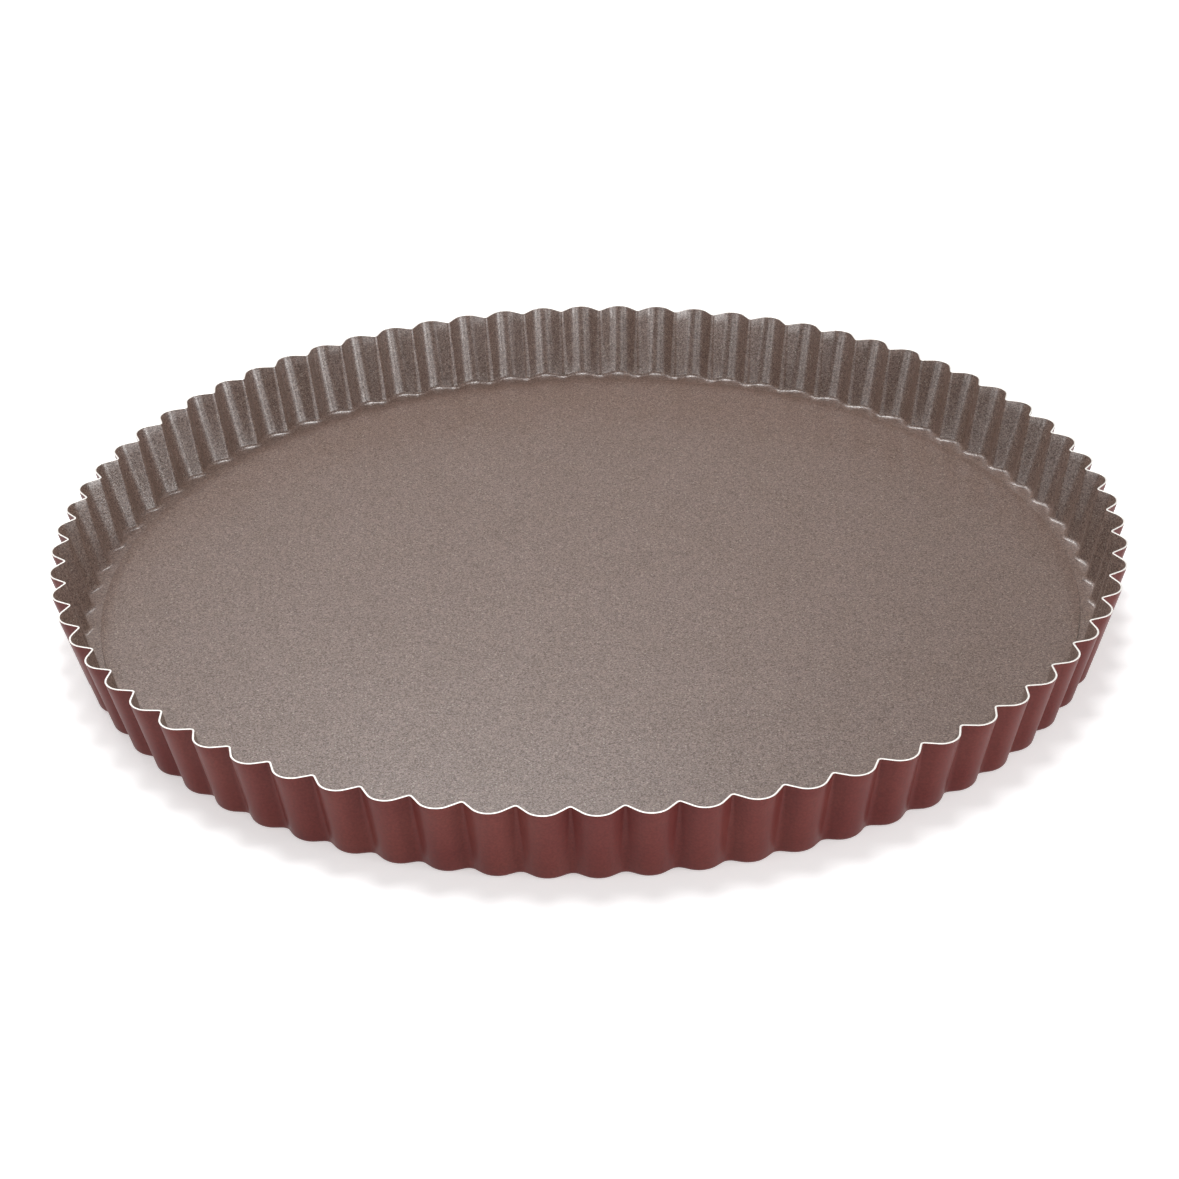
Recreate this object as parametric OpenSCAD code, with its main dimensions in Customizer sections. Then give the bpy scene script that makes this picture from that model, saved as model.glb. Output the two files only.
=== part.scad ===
// Fluted tart pan: a flared, fluted ring of pressed sheet with an inward ledge at its
// foot, and a loose, flat, round base that rests on the ledge and lifts out past the rim.
// Millimetres. The origin is the centre of the resting face, and +Z is up.

/* [Overall size] */
// Outer diameter over the flute crests at the rim
rim_d = 320; // [240:1:384]
// Height from the resting face to the cut rim
pan_h = 24; // [15:0.5:40]
// Lean of the wall away from upright, in degrees
draft = 14.7; // [5:0.1:25]

/* [Flutes] */
// Number of flutes round the wall
flute_n = 72; // [48:1:84]
// Depth of a flute at the rim, from crest to valley
rim_depth = 4.1; // [2:0.1:5]
// Depth of a flute at the foot of the wall, from crest to valley
foot_depth = 2.4; // [1.5:0.1:4.5]
// Radius of the round crests at the rim, at the middle of the sheet
rim_crest_r = 5.5; // [3:0.1:8]
// Radius of the tight valleys at the rim, at the middle of the sheet
rim_valley_r = 0.9; // [0.6:0.1:2]
// Radius of the crests at the foot of the wall, where the flutes grow soft
foot_crest_r = 6.5; // [4:0.1:8]
// Radius of the valleys at the foot of the wall
foot_valley_r = 3; // [0.8:0.1:4]

/* [Ring sheet and ledge] */
// Thickness of the ring's sheet
ring_t = 0.5; // [0.4:0.05:1]
// Inside radius of the bend between the wall and the ledge
bend_r = 1.5; // [0.5:0.1:3]
// Width of the flat ledge at the valleys, which carries the base
ledge_w = 10.5; // [6:0.5:20]

/* [Loose base] */
// Thickness of the base's sheet
base_t = 0.6; // [0.4:0.05:1.5]
// Gap all round between the base's edge and the bend at the valleys
base_gap = 2.1; // [0.4:0.1:4]

/* [Hidden] */

// Facets: steps along half a crest, half a valley and the bend at the foot
crest_steps = 2;
valley_steps = 1;
bend_steps = 2;
round_fn = 360;

// What the trimming cut takes off the ledge's edge, and how far it runs past each face
trim = 1;

// The bend turns the sheet from level to the wall's slope
bend_a = 90 - draft;
bend_out_r = bend_r + ring_t;
bend_setback = bend_out_r * tan(bend_a / 2);

// Half the sheet as a level cut through the leaning wall shows it
half_t = ring_t / cos(draft) / 2;

// Where the flat ledge ends at the valleys, and what fits inside it
ledge_valley_r = crest_at(0) - foot_depth + half_t - bend_setback;
ledge_in_r = ledge_valley_r - ledge_w;
base_r = ledge_valley_r - base_gap;

// How far out the crests stand and how deep the flutes are at a height on the wall, and the
// radii of their two rounds, all mid-sheet
function crest_at(z) = rim_d / 2 - half_t - (pan_h - z) * tan(draft);
function depth_at(z) = foot_depth + (rim_depth - foot_depth) * z / pan_h;
function crest_r_at(z) = foot_crest_r + (rim_crest_r - foot_crest_r) * z / pan_h;
function valley_r_at(z) = foot_valley_r + (rim_valley_r - foot_valley_r) * z / pan_h;
function half_pitch_at(z) = PI * (crest_at(z) - depth_at(z) / 2) / flute_n;

// Both rounds, whose radii add up to r, shrink together where a narrow flute has no room
function round_scale(p, d, r) = min(1, (p * p + d * d) / (2 * d * r));

// Slope of the straight flank that is tangent to both rounds, whose radii add up to r
function flank_angle(p, d, r) =
    atan2(d - r, p) + atan2(r, sqrt(max(0, p * p + (d - r) * (d - r) - r * r)));

// Half of a flute that has the wall's shape at height wall_z, from crest to valley, moved out
// from mid-sheet by o: x runs along the rim and y outwards from the crest
function half_flute(wall_z, o) =
    let(p = half_pitch_at(wall_z), d = depth_at(wall_z))
    let(s = round_scale(p, d, crest_r_at(wall_z) + valley_r_at(wall_z)))
    let(r1 = s * crest_r_at(wall_z), r2 = s * valley_r_at(wall_z))
    let(a = flank_angle(p, d, r1 + r2))
    concat(
        [for (i = [0:crest_steps]) let(b = a * i / crest_steps)
            [(r1 + o) * sin(b), (r1 + o) * cos(b) - r1]],
        [for (i = [valley_steps:-1:0]) let(b = a * i / valley_steps)
            [p - (r2 - o) * sin(b), r2 - d - (r2 - o) * cos(b)]]
    );

// A whole flute, which ends one point short of the next crest
function flute(wall_z, o) =
    let(h = half_flute(wall_z, o), p = half_pitch_at(wall_z))
    concat(h, [for (i = [len(h) - 2:-1:1]) [2 * p - h[i].x, h[i].y]]);

// One closed outline round the wall: the wall's shape at height wall_z, moved out from
// mid-sheet by o and drawn at height z
function outline(wall_z, z, o) =
    let(p = half_pitch_at(wall_z), f = flute(wall_z, o))
    [for (k = [0:flute_n - 1]) for (q = f)
        let(a = 360 / flute_n * (k + q.x / (2 * p)), r = crest_at(wall_z) + q.y)
        [r * cos(a), r * sin(a), z]];

// Outline at angle b round the foot bend, on the face of radius r about the bend's axis
function bend_outline(b, r) =
    outline(0, bend_out_r - r * cos(b), half_t - bend_setback + r * sin(b));

// Triangles between one flute-shaped outline and a polygon inside it with one corner a
// flute; seen from above they turn anticlockwise
function ledge_faces(outer, inner, n) =
    let(m = n / flute_n)
    [for (k = [0:flute_n - 1])
        let(a = inner + k, b = inner + (k + 1) % flute_n)
        each concat(
            [for (j = [0:m - 1]) [a, outer + k * m + j, outer + (k * m + j + 1) % n]],
            [[a, outer + ((k + 1) * m) % n, b]]
        )];

// The same triangles seen from their other side
function flipped(faces) = [for (f = faces) [f[2], f[1], f[0]]];

// The pressed shell: up the outside, over the rim, down the inside, and the ledge with a
// rough opening of radius hole_r
module shell(hole_r) {
    bends = [for (i = [0:bend_steps]) bend_a * i / bend_steps];
    outside = [for (b = bends) bend_outline(b, bend_out_r)];
    rim = [outline(pan_h, pan_h, half_t), outline(pan_h, pan_h, -half_t)];
    inside = [for (i = [bend_steps:-1:0]) bend_outline(bends[i], bend_r)];
    rings = concat(outside, rim, inside);
    n = len(rings[0]);
    last = (len(rings) - 1) * n;
    low = last + n;
    high = low + flute_n;
    strips = [for (i = [0:n:last - n]) for (j = [0:n - 1])
        let(a = i + j, b = i + (j + 1) % n)
        each [[a, a + n, b + n], [a, b + n, b]]];
    opening = [for (k = [0:flute_n - 1])
        let(a = low + k, b = low + (k + 1) % flute_n)
        each [[a, b, b + flute_n], [a, b + flute_n, a + flute_n]]];
    corners = [for (z = [0, ring_t]) for (k = [0:flute_n - 1])
        let(a = 360 * k / flute_n)
        [hole_r * cos(a), hole_r * sin(a), z]];
    polyhedron(
        points = concat([for (r = rings) each r], corners),
        faces = concat(strips, opening, ledge_faces(0, low, n),
            flipped(ledge_faces(last, high, n)))
    );
}

// Wall and ledge in one pressing, with the ledge's inner edge trimmed to a true circle
module fluted_ring() {
    color([0.38, 0.2, 0.19])
    difference() {
        shell(ledge_in_r - trim);
        translate([0, 0, -trim])
            cylinder(h = ring_t + 2 * trim, r = ledge_in_r, $fn = round_fn);
    }
}

// Flat sheet disc that lies on the ledge
module base_plate() {
    color([0.53, 0.47, 0.43])
    translate([0, 0, ring_t])
        cylinder(h = base_t, r = base_r, $fn = round_fn);
}

fluted_ring();
base_plate();
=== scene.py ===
"""A fluted tart pan with a loose base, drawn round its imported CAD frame.

The ring and the base are rebuilt as fine meshes from the sizes of the CAD solids. Every surface
has a procedural finish: a flecked non-stick coating inside, a satin lacquer outside, and bare
steel along the cut edges. Everything is in metres, in the frame of the CAD model.
"""

import math

import bpy
import numpy as np
from mathutils import Matrix, Vector


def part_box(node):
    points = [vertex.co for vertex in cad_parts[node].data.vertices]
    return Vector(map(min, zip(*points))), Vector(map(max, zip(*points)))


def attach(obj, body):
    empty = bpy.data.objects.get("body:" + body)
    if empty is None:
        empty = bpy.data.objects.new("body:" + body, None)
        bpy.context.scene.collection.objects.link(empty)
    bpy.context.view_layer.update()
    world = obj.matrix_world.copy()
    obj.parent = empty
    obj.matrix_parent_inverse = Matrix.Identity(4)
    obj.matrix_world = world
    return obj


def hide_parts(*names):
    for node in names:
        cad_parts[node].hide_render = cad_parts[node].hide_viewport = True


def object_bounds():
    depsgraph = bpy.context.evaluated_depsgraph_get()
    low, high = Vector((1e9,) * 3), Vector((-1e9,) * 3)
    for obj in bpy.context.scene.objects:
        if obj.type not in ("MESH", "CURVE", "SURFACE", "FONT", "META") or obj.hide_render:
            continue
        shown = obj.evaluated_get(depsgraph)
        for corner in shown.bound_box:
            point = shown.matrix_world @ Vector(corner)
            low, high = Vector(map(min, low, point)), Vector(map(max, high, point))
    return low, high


MM = 0.001

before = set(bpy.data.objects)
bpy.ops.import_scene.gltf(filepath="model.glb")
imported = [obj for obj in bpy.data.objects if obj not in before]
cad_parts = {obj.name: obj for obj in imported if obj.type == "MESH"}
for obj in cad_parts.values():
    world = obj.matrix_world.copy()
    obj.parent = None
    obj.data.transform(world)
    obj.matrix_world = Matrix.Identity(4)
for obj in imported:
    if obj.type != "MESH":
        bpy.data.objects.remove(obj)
cad_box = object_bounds()
ring_low, ring_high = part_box("fluted_ring")
base_low, base_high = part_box("base_plate")

# The ring: the CAD model's own sizes
RIM_R = ring_high.x
PAN_H = ring_high.z
DRAFT = math.radians(14.7)
FLUTES = 72
RIM_DEPTH = 4.1 * MM
FOOT_DEPTH = 2.4 * MM
RIM_CREST_R = 5.5 * MM
RIM_VALLEY_R = 0.9 * MM
FOOT_CREST_R = 6.5 * MM
FOOT_VALLEY_R = 3.0 * MM
RING_T = 0.5 * MM
BEND_R = 1.5 * MM
LEDGE_W = 10.5 * MM

# The base, whose middle sags a little inside the ledge that carries its border
BASE_R = base_high.x
BASE_TOP = base_high.z
BASE_SAG = 0.07 * MM
CREASE_W = 0.6 * MM

# How the sheared edges are rounded, and how finely the meshes are cut
EDGE_ROUND = 0.1 * MM
CREST_STEPS = 8
VALLEY_STEPS = 4
BEND_STEPS = 8
EDGE_STEPS = 3
WALL_STEPS = 6
LEDGE_STEPS = 3
BASE_SIDES = 720
BASE_RINGS = 9

# The studio
BOX_SIDE = 0.4
BOX_REACH = 1.2
PAPER_GLOW = 0.5
PAPER_REACH = 10.0
PAPER_GAP = 0.05 * MM
WORLD_GLOW = 0.3

# The camera, in degrees; its distance is in rim diameters
CAMERA_AZIMUTH = -0.226
CAMERA_ELEVATION = 27.686
CAMERA_DIP = 1.734
CAMERA_ROLL = -1.529
CAMERA_DISTANCE = 2.3581
LENS_MM = 76.40
SENSOR_MM = 36

# Worked out from the sizes above
HALF_T = RING_T / math.cos(DRAFT) / 2
BEND_A = math.pi / 2 - DRAFT
BEND_OUT_R = BEND_R + RING_T
BEND_SETBACK = BEND_OUT_R * math.tan(BEND_A / 2)
LEDGE_VALLEY_R = RIM_R - HALF_T - PAN_H * math.tan(DRAFT) - FOOT_DEPTH + HALF_T - BEND_SETBACK
LEDGE_IN_R = LEDGE_VALLEY_R - LEDGE_W


# ---------------------------------------------------------------- the shape of the wall


def crest_at(z):
    """Radius of the crests at height z on the wall, at the middle of the sheet."""
    return RIM_R - HALF_T - (PAN_H - z) * math.tan(DRAFT)


def depth_at(z):
    """Depth of the flutes at height z on the wall."""
    return blend(FOOT_DEPTH, RIM_DEPTH, z)


def half_pitch_at(z):
    """Half the pitch of the flutes at height z, measured along their middle."""
    return math.pi * (crest_at(z) - depth_at(z) / 2) / FLUTES


def blend(foot, rim, z):
    """A size that runs evenly from foot at the foot of the wall to rim at the rim."""
    return foot + (rim - foot) * z / PAN_H


def half_flute(wall_z, o):
    """Half a flute from crest to valley, moved out by o: x runs along the rim, y outwards."""
    p = half_pitch_at(wall_z)
    d = depth_at(wall_z)
    r1 = blend(FOOT_CREST_R, RIM_CREST_R, wall_z)
    r2 = blend(FOOT_VALLEY_R, RIM_VALLEY_R, wall_z)
    scale = min(1, (p * p + d * d) / (2 * d * (r1 + r2)))
    r1 *= scale
    r2 *= scale
    r = r1 + r2
    a = math.atan2(d - r, p) + math.atan2(r, math.sqrt(max(0, p * p + (d - r) ** 2 - r * r)))
    b = np.linspace(0, a, CREST_STEPS + 1)
    c = np.linspace(a, 0, VALLEY_STEPS + 1)
    x = np.concatenate([(r1 + o) * np.sin(b), p - (r2 - o) * np.sin(c)])
    y = np.concatenate([(r1 + o) * np.cos(b) - r1, r2 - d - (r2 - o) * np.cos(c)])
    return x, y


def outline(wall_z, z, o):
    """A closed outline round the wall, as an array of points, drawn at height z."""
    p = half_pitch_at(wall_z)
    x, y = half_flute(wall_z, o)
    x = np.concatenate([x, 2 * p - x[-2:0:-1]])
    y = np.concatenate([y, y[-2:0:-1]])
    turn = 2 * math.pi / FLUTES
    angle = (turn * (np.arange(FLUTES)[:, None] + x[None, :] / (2 * p))).ravel()
    radius = crest_at(wall_z) + np.tile(y, FLUTES)
    return np.stack([radius * np.cos(angle), radius * np.sin(angle), np.full_like(angle, z)], 1)


def bend_outline(b, r):
    """The outline at angle b round the foot bend, on the face of radius r about its axis."""
    return outline(0, BEND_OUT_R - r * math.cos(b), HALF_T - BEND_SETBACK + r * math.sin(b))


def towards_circle(points, radius, share, z):
    """An outline drawn some share of the way in to a circle of that radius, at height z."""
    angle = np.arctan2(points[:, 1], points[:, 0])
    r = np.hypot(points[:, 0], points[:, 1]) * (1 - share) + radius * share
    return np.stack([r * np.cos(angle), r * np.sin(angle), np.full_like(r, z)], 1)


def quarter(steps):
    """Cosine and sine from 0 to 90 degrees."""
    return [(math.cos(a), math.sin(a)) for a in np.linspace(0, math.pi / 2, steps + 1)]


# ---------------------------------------------------------------- meshes


def mesh_from_rings(name, rings, finishes, closed):
    """A mesh from rings of equally many points: finishes[i] is the material of the strip after
    ring i. closed joins the last ring to the first; otherwise both ends are capped by a fan."""
    n = len(rings[0])
    verts = np.concatenate(rings)
    count = len(rings)
    faces = []
    kinds = []
    j = np.arange(n)
    k = (j + 1) % n
    for i in range(count if closed else count - 1):
        a = i * n
        b = ((i + 1) % count) * n
        faces.append(np.stack([a + j, a + k, b + k, b + j], 1))
        kinds += [finishes[i]] * n
    quads = np.concatenate(faces).tolist()
    if not closed:
        first = len(verts)
        centres = np.array([[0, 0, rings[0][0, 2]], [0, 0, rings[-1][0, 2]]])
        verts = np.concatenate([verts, centres])
        last = (count - 1) * n
        quads += np.stack([np.full(n, first), k, j], 1).tolist()
        quads += np.stack([np.full(n, first + 1), last + j, last + k], 1).tolist()
        kinds += [finishes[0]] * n + [finishes[count - 2]] * n
    mesh = bpy.data.meshes.new(name)
    mesh.from_pydata(verts.tolist(), [], quads)
    mesh.polygons.foreach_set("material_index", np.array(kinds, np.int32))
    mesh.polygons.foreach_set("use_smooth", np.ones(len(quads), bool))
    mesh.update()
    mesh.validate()
    piece = bpy.data.objects.new(name, mesh)
    bpy.context.scene.collection.objects.link(piece)
    return piece


def ring_piece(lacquer, coating, steel):
    """The wall and the ledge in one sheet, from the ledge's underside round to its top."""
    outer, inner, bare = 0, 1, 2
    e = EDGE_ROUND
    rings = []
    finishes = []

    def add(points, finish):
        rings.append(points)
        finishes.append(finish)

    foot_out = bend_outline(0, BEND_OUT_R)
    foot_in = bend_outline(0, BEND_R)
    for c, s in quarter(EDGE_STEPS)[:-1]:
        add(towards_circle(foot_out, LEDGE_IN_R + e - e * c, 1, e - e * s), bare)
    for share in np.linspace(1, 0, LEDGE_STEPS + 1)[:-1]:
        add(towards_circle(foot_out, LEDGE_IN_R + e, share, 0), outer)
    for b in np.linspace(0, BEND_A, BEND_STEPS + 1):
        add(bend_outline(b, BEND_OUT_R), outer)
    low = BEND_OUT_R - BEND_OUT_R * math.cos(BEND_A)
    for z in np.linspace(low, PAN_H - e, WALL_STEPS + 1)[1:-1]:
        add(outline(z, z, HALF_T), outer)
    for c, s in quarter(EDGE_STEPS):
        z = PAN_H - e + e * s
        add(outline(z, z, HALF_T - e + e * c), bare)
    for s, c in quarter(EDGE_STEPS)[:-1]:
        z = PAN_H - e + e * s
        add(outline(z, z, -HALF_T + e - e * c), bare)
    add(outline(PAN_H - e, PAN_H - e, -HALF_T), inner)
    low = BEND_OUT_R - BEND_R * math.cos(BEND_A)
    for z in np.linspace(PAN_H - e, low, WALL_STEPS + 1)[1:-1]:
        add(outline(z, z, -HALF_T), inner)
    for b in np.linspace(BEND_A, 0, BEND_STEPS + 1):
        add(bend_outline(b, BEND_R), inner)
    for share in np.linspace(0, 1, LEDGE_STEPS + 1)[1:-1]:
        add(towards_circle(foot_in, LEDGE_IN_R + e, share, RING_T), inner)
    for s, c in quarter(EDGE_STEPS):
        add(towards_circle(foot_in, LEDGE_IN_R + e - e * s, 1, RING_T - e + e * c), bare)

    piece = mesh_from_rings("ring_shell", rings, finishes, closed=True)
    for material in (lacquer, coating, steel):
        piece.data.materials.append(material)
    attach(piece, "ring")
    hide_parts("fluted_ring")
    return piece


def circle(radius, z):
    """Points round a level circle."""
    angle = np.arange(BASE_SIDES) * 2 * math.pi / BASE_SIDES
    return np.stack([radius * np.cos(angle), radius * np.sin(angle), np.full_like(angle, z)], 1)


def base_piece(coating, lacquer, steel):
    """The loose base: a sheet disc, creased very slightly where the ledge stops carrying it."""
    top, under, bare = 0, 1, 2
    e = EDGE_ROUND
    low_top = BASE_TOP - BASE_SAG
    rings = []
    finishes = []

    def add(radius, z, finish):
        rings.append(circle(radius, z))
        finishes.append(finish)

    for share in np.linspace(0.1, 0.9, BASE_RINGS):
        add(LEDGE_IN_R * share, low_top, top)
    add(LEDGE_IN_R - CREASE_W / 2, low_top, top)
    border = BASE_R - e - LEDGE_IN_R
    for run in (CREASE_W / 2, border / 2):
        add(LEDGE_IN_R + run, low_top + BASE_SAG * run / border, top)
    for c, s in quarter(EDGE_STEPS)[::-1]:
        add(BASE_R - e + e * c, BASE_TOP - e + e * s, top if s > c else bare)
    for c, s in quarter(EDGE_STEPS)[:-1]:
        add(BASE_R - e + e * c, RING_T + e - e * s, bare)
    add(BASE_R - e, RING_T, under)
    for share in np.linspace(0.9, 0.1, BASE_RINGS):
        add(LEDGE_IN_R * share, RING_T, under)

    piece = mesh_from_rings("base_disc", [r[::-1] for r in rings], finishes, closed=False)
    for material in (coating, lacquer, steel):
        piece.data.materials.append(material)
    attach(piece, "base")
    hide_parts("base_plate")
    return piece


# ---------------------------------------------------------------- materials


class Nodes:
    """Short calls for building one material's node tree."""

    def __init__(self, name):
        self.material = bpy.data.materials.new(name)
        self.material.use_nodes = True
        self.tree = self.material.node_tree
        self.shader = self.tree.nodes["Principled BSDF"]
        self.place = self.add("ShaderNodeTexCoord").outputs["Object"]

    def add(self, kind, **settings):
        """A new node of that kind, with its own settings set."""
        node = self.tree.nodes.new(kind)
        for key, value in settings.items():
            setattr(node, key, value)
        return node

    def link(self, value, socket):
        """Sets a socket to a number or colour, or links another node's output to it."""
        if isinstance(value, bpy.types.NodeSocket):
            self.tree.links.new(value, socket)
        else:
            socket.default_value = value

    def noise(self, size, detail=2.0, rough=0.5):
        """Noise whose features are about size metres across."""
        node = self.add("ShaderNodeTexNoise")
        self.link(self.place, node.inputs["Vector"])
        node.inputs["Scale"].default_value = 1 / size
        node.inputs["Detail"].default_value = detail
        node.inputs["Roughness"].default_value = rough
        return node.outputs["Fac"]

    def cells(self, size):
        """Random cells about size metres across: the distance to each centre and its number."""
        node = self.add("ShaderNodeTexVoronoi")
        self.link(self.place, node.inputs["Vector"])
        node.inputs["Scale"].default_value = 1 / size
        split = self.add("ShaderNodeSeparateColor")
        self.link(node.outputs["Color"], split.inputs[0])
        return node.outputs["Distance"], split.outputs[0]

    def math(self, operation, a, b=0.0):
        """Two values put together by a math operation."""
        node = self.add("ShaderNodeMath", operation=operation)
        self.link(a, node.inputs[0])
        self.link(b, node.inputs[1])
        return node.outputs[0]

    def remap(self, value, low, high, to_low=0.0, to_high=1.0):
        """Maps low..high to to_low..to_high, and holds it there outside."""
        node = self.add("ShaderNodeMapRange", clamp=True)
        for socket, number in zip(node.inputs, (value, low, high, to_low, to_high)):
            self.link(number, socket)
        return node.outputs["Result"]

    def mix(self, share, a, b, blend="MIX"):
        """Colour a with a share of colour b blended in."""
        node = self.add("ShaderNodeMix", data_type="RGBA", blend_type=blend)
        self.link(share, node.inputs[0])
        self.link(a, node.inputs[6])
        self.link(b, node.inputs[7])
        return node.outputs[2]

    def bump(self, height, distance):
        """A normal for a surface whose height runs over that distance."""
        node = self.add("ShaderNodeBump")
        self.link(height, node.inputs["Height"])
        node.inputs["Distance"].default_value = distance
        return node.outputs["Normal"]

    def finish(self, **sockets):
        """Sets the shader's sockets, named with _ for a space, and returns the material."""
        for name, value in sockets.items():
            self.link(value, self.shader.inputs[name.replace("_", " ")])
        return self.material


def coating_material():
    """Satin non-stick coating: warm grey-brown, grained by fine pale and dark flakes."""
    m = Nodes("inner_coating")
    cloud = m.noise(24 * MM, detail=3.0)
    tint = m.noise(9 * MM, detail=2.0)
    grain = m.noise(0.55 * MM, detail=2.0, rough=0.6)
    flake = m.cells(0.3 * MM)[1]
    distance, number = m.cells(0.62 * MM)
    spot = m.remap(distance, 0.5, 0.3)
    pale_fleck = m.math("MULTIPLY", spot, m.remap(number, 0.93, 0.95))
    dark_fleck = m.math("MULTIPLY", spot, m.remap(number, 0.06, 0.04))

    colour = m.mix(m.remap(cloud, 0.35, 0.65), (0.136, 0.083, 0.061, 1), (0.143, 0.089, 0.068, 1))
    colour = m.mix(m.remap(tint, 0.35, 0.65, 0.0, 0.3), colour, (0.152, 0.096, 0.080, 1))
    shade = m.math("MULTIPLY", m.remap(flake, 0, 1, 0.55, 1.45), m.remap(grain, 0.3, 0.7, 0.85, 1.15))
    colour = m.mix(1.0, colour, shade, blend="MULTIPLY")
    colour = m.mix(m.math("MULTIPLY", pale_fleck, 0.5), colour, (0.42, 0.37, 0.31, 1))
    colour = m.mix(m.math("MULTIPLY", dark_fleck, 0.5), colour, (0.045, 0.032, 0.027, 1))

    height = m.math("ADD", grain, m.math("MULTIPLY", flake, 0.45))
    return m.finish(
        Base_Color=colour,
        IOR=1.75,
        Specular_IOR_Level=m.remap(flake, 0, 1, 0.2, 0.8),
        Roughness=m.remap(grain, 0.3, 0.7, 0.44, 0.32),
        Coat_Weight=0.6,
        Coat_Roughness=0.22,
        Normal=m.bump(height, 0.05 * MM),
    )


def lacquer_material():
    """Satin oxblood heat lacquer with a slight orange peel."""
    m = Nodes("outer_lacquer")
    cloud = m.noise(18 * MM, detail=3.0)
    peel = m.noise(0.7 * MM, detail=2.0)
    colour = m.mix(m.remap(cloud, 0.35, 0.65), (0.094, 0.018, 0.016, 1), (0.108, 0.024, 0.020, 1))
    colour = m.mix(1.0, colour, m.remap(peel, 0.3, 0.7, 0.86, 1.14), blend="MULTIPLY")
    return m.finish(
        Base_Color=colour,
        Roughness=m.remap(peel, 0.3, 0.7, 0.36, 0.44),
        Specular_IOR_Level=0.16,
        Normal=m.bump(peel, 0.01 * MM),
    )


def steel_material():
    """Bare sheet steel on the sheared edges."""
    m = Nodes("bare_edge")
    scratch = m.noise(0.4 * MM, detail=3.0)
    colour = m.mix(m.remap(scratch, 0.3, 0.7), (0.84, 0.81, 0.77, 1), (0.95, 0.92, 0.88, 1))
    return m.finish(
        Base_Color=colour,
        Metallic=0.4,
        Roughness=m.remap(scratch, 0.3, 0.7, 0.34, 0.48),
    )


def paper_material():
    """The studio's plain, pale floor."""
    m = Nodes("studio_floor")
    fibre = m.noise(30 * MM, detail=2.0)
    colour = m.mix(fibre, (0.90, 0.90, 0.90, 1), (0.92, 0.92, 0.92, 1))
    return m.finish(
        Base_Color=colour,
        Roughness=0.9,
        Emission_Color=colour,
        Emission_Strength=PAPER_GLOW,
    )


# ---------------------------------------------------------------- studio


def studio_floor():
    """A level sweep of pale paper, just under the pan."""
    r = PAPER_REACH
    mesh = bpy.data.meshes.new("studio_floor")
    corners = [(-r, -r, 0), (r, -r, 0), (r, r, 0), (-r, r, 0)]
    mesh.from_pydata(corners, [], [(0, 1, 2, 3)])
    mesh.materials.append(paper_material())
    floor = bpy.data.objects.new("studio_floor", mesh)
    floor.location.z = cad_box[0].z - PAPER_GAP
    bpy.context.scene.collection.objects.link(floor)


def softbox(name, azimuth, elevation, power):
    """A square area light that faces the pan from that direction, unseen by the camera."""
    light = bpy.data.lights.new(name, "AREA")
    light.shape = "SQUARE"
    light.size = BOX_SIDE
    light.energy = power
    a = math.radians(azimuth)
    e = math.radians(elevation)
    towards = Vector((math.cos(a) * math.cos(e), math.sin(a) * math.cos(e), math.sin(e)))
    box = bpy.data.objects.new(name, light)
    box.location = BOX_REACH * towards
    box.rotation_euler = towards.to_track_quat("Z", "Y").to_euler()
    box.visible_camera = False
    bpy.context.scene.collection.objects.link(box)


def studio_light():
    """A soft box overhead, weaker ones behind and to the left, and low ones round the front."""
    world = bpy.data.worlds.new("studio")
    world.use_nodes = True
    background = world.node_tree.nodes["Background"]
    background.inputs["Color"].default_value = (1, 1, 1, 1)
    background.inputs["Strength"].default_value = WORLD_GLOW
    bpy.context.scene.world = world
    softbox("front_left", 210, 10, 2.2)
    softbox("front_near_left", 240, 10, 1.7)
    softbox("front_near_right", 300, 10, 2.6)
    softbox("front_right", 330, 10, 4.9)
    softbox("overhead", 90, 84, 7.0)
    softbox("high_left", 145, 55, 3.0)
    softbox("high_back", 100, 55, 4.6)
    bpy.context.scene.view_settings.view_transform = "Standard"


def studio_camera():
    """A long lens from the front, a little under 30 degrees above the level of the rim."""
    azimuth = math.radians(CAMERA_AZIMUTH)
    elevation = math.radians(CAMERA_ELEVATION)
    distance = CAMERA_DISTANCE * 2 * RIM_R
    look_down = elevation + math.radians(CAMERA_DIP)
    roll = math.radians(CAMERA_ROLL)
    camera_data = bpy.data.cameras.new("camera")
    camera_data.sensor_width = SENSOR_MM
    camera_data.lens = LENS_MM
    camera = bpy.data.objects.new("camera", camera_data)
    turn = Matrix.Rotation(azimuth, 4, "Z")
    back = distance * math.cos(elevation)
    up = distance * math.sin(elevation)
    place = turn @ Vector((0, -back, up)) + Vector((0, 0, PAN_H))
    tilt = Matrix.Rotation(math.pi / 2 - look_down, 4, "X")
    camera.matrix_world = Matrix.Translation(place) @ turn @ tilt @ Matrix.Rotation(roll, 4, "Z")
    camera_data.clip_start = 0.01
    camera_data.clip_end = 20
    bpy.context.scene.collection.objects.link(camera)
    bpy.context.scene.camera = camera


coating = coating_material()
lacquer = lacquer_material()
steel = steel_material()
ring_piece(lacquer, coating, steel)
base_piece(coating, lacquer, steel)
studio_camera()
studio_floor()
studio_light()
